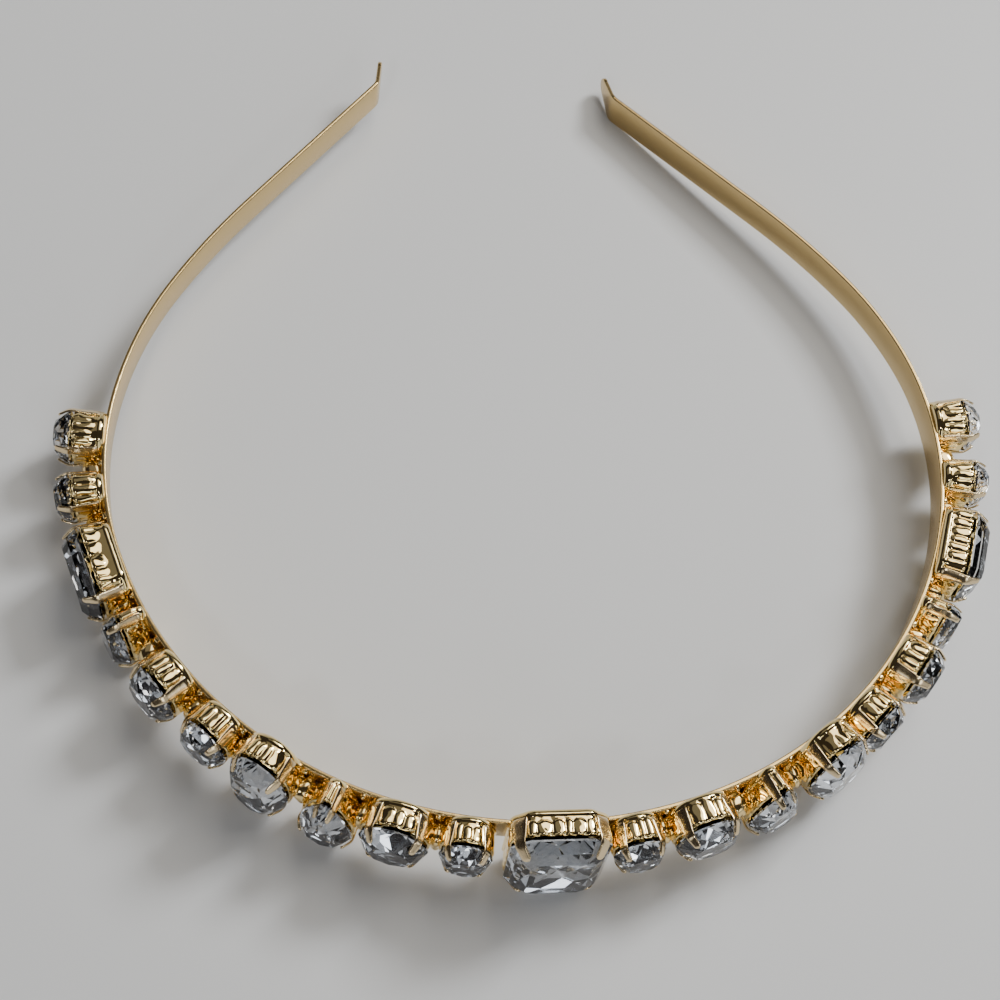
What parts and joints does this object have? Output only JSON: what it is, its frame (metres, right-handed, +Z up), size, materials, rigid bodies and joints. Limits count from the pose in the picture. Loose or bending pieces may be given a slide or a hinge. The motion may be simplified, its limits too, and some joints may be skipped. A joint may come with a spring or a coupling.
{
  "type": "jewelled headband",
  "caption": "Open sprung hoop headband of flat gold-coloured strip with a row of clear cut stones in fluted claw cups along its front.",
  "frame": {"origin": "middle of the base of the space the headband takes up as it lies on a flat surface", "axes": "+Z up from the surface, -Y towards the front with the centre stone, +Y towards the open ends, +X to the wearer's left when worn"},
  "size_m": [0.1466, 0.1466, 0.0192],
  "materials": {
    "gold metal": "bright warm gold plating, polished, mirror-like on the pressed cups",
    "clear stones": "clear faceted glass with a silvered back, sharp grey, dark and white facets"
  },
  "bodies": {
    "root": {"hoop": "gold metal", "centre_stone": "clear stones", "left_stone_1": "clear stones", "left_stone_2": "clear stones", "left_stone_3": "clear stones", "left_stone_4": "clear stones", "left_stone_5": "clear stones", "left_stone_6": "clear stones", "left_stone_7": "clear stones", "left_stone_8": "clear stones", "left_stone_9": "clear stones", "left_stone_10": "clear stones", "right_stone_1": "clear stones", "right_stone_2": "clear stones", "right_stone_3": "clear stones", "right_stone_4": "clear stones", "right_stone_5": "clear stones", "right_stone_6": "clear stones", "right_stone_7": "clear stones", "right_stone_8": "clear stones", "right_stone_9": "clear stones", "right_stone_10": "clear stones"}
  },
  "joints": []
}
